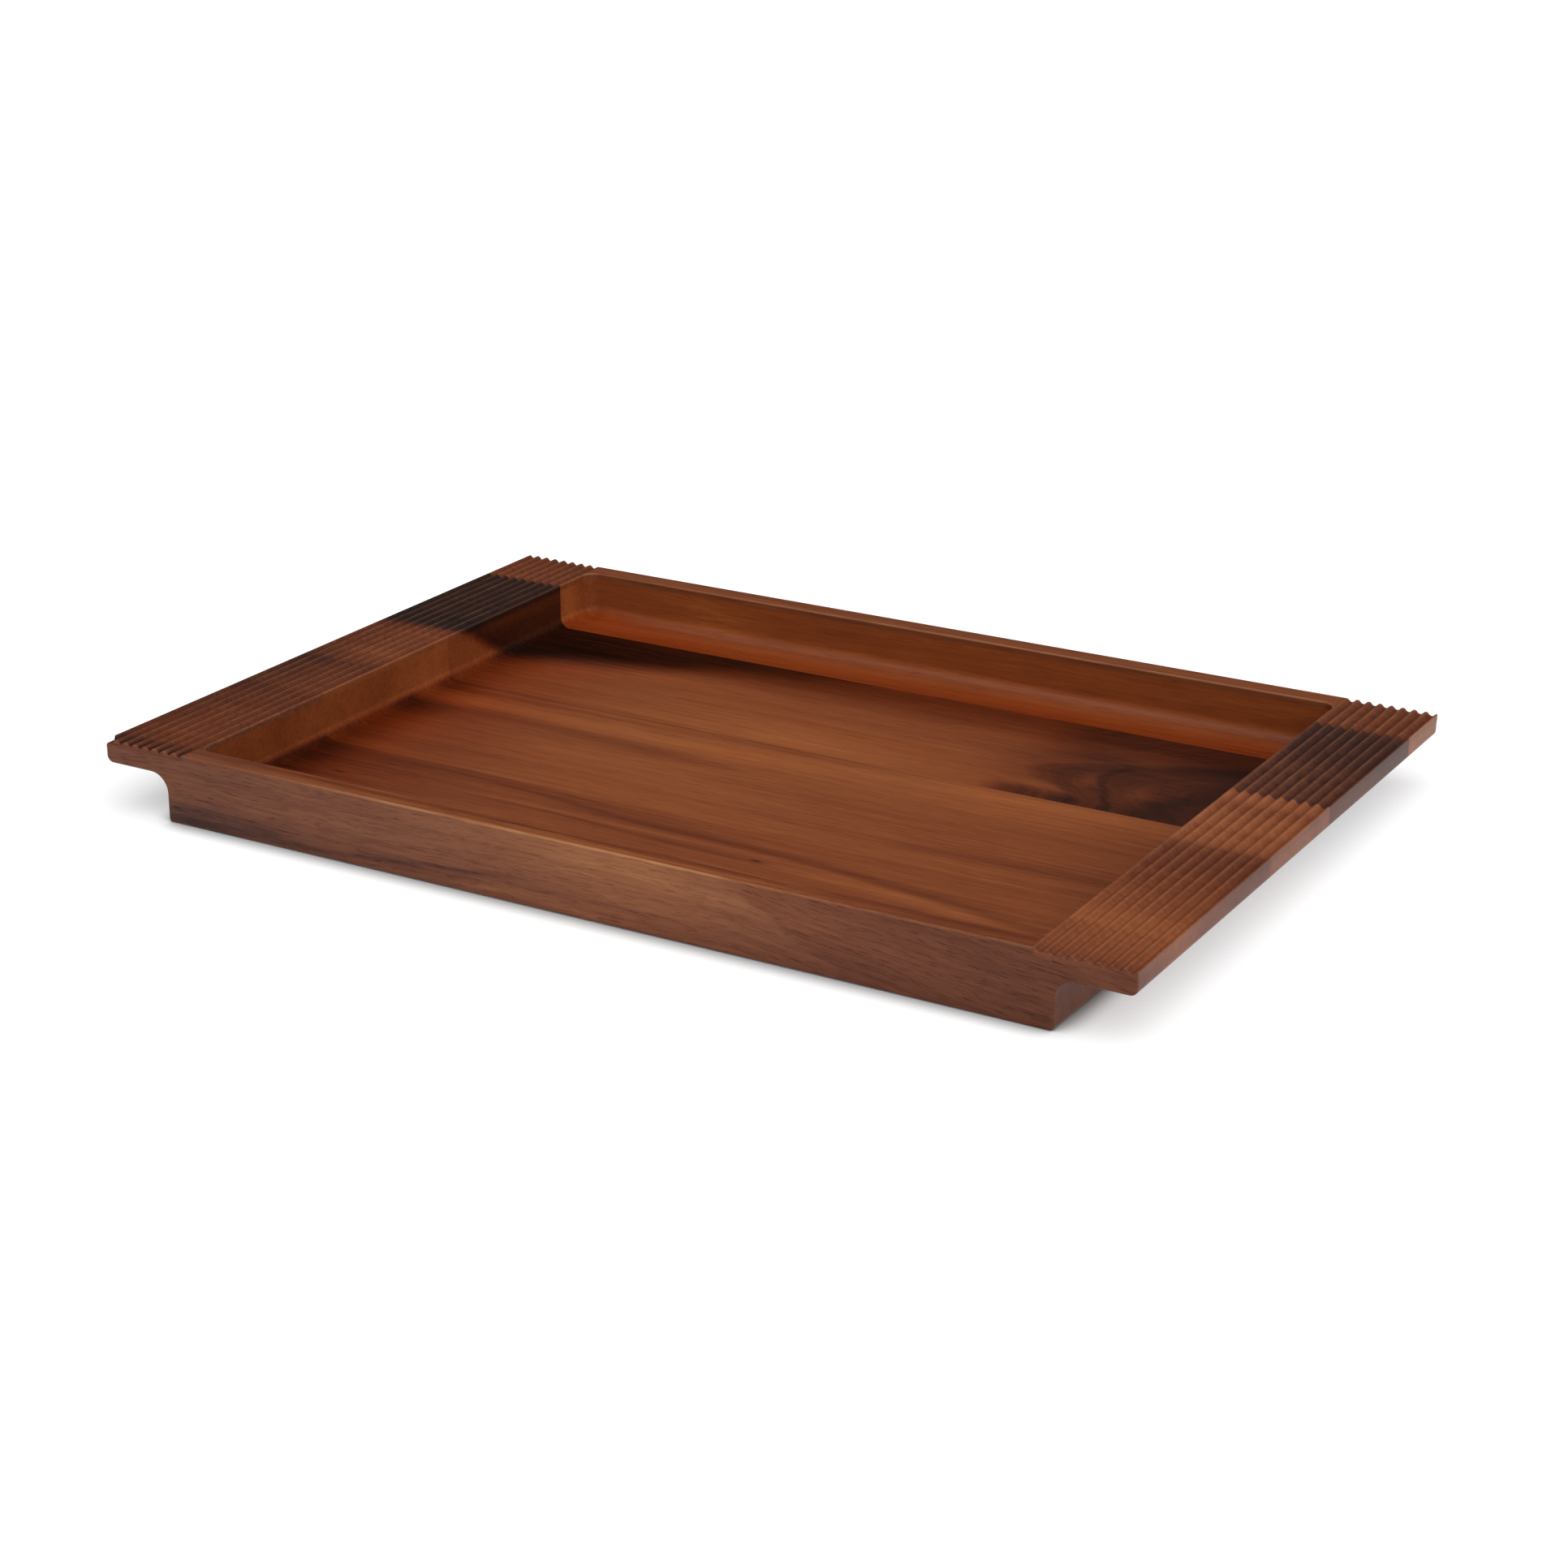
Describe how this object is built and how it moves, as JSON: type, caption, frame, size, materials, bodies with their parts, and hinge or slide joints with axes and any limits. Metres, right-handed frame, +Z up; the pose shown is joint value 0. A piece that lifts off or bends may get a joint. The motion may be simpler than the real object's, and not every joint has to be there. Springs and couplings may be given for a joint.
{
  "type": "serving tray",
  "caption": "Rectangular wooden serving tray with a shallow round-cornered well and ribbed grab handles overhanging both ends.",
  "frame": {"origin": "middle of the footprint, on the surface the tray stands on", "axes": "+X along the staves from the left handle to the right handle, +Y from the front rim to the back rim, +Z up"},
  "size_m": [0.457, 0.305, 0.03],
  "materials": {
    "front_rail_stave": "satin oiled",
    "front_centre_stave": "satin oiled",
    "rear_centre_stave": "satin oiled",
    "back_rail_stave": "satin oiled"
  },
  "bodies": {
    "root": {"front_rail_stave": "front_rail_stave", "front_centre_stave": "front_centre_stave", "rear_centre_stave": "rear_centre_stave", "back_rail_stave": "back_rail_stave"}
  },
  "joints": []
}
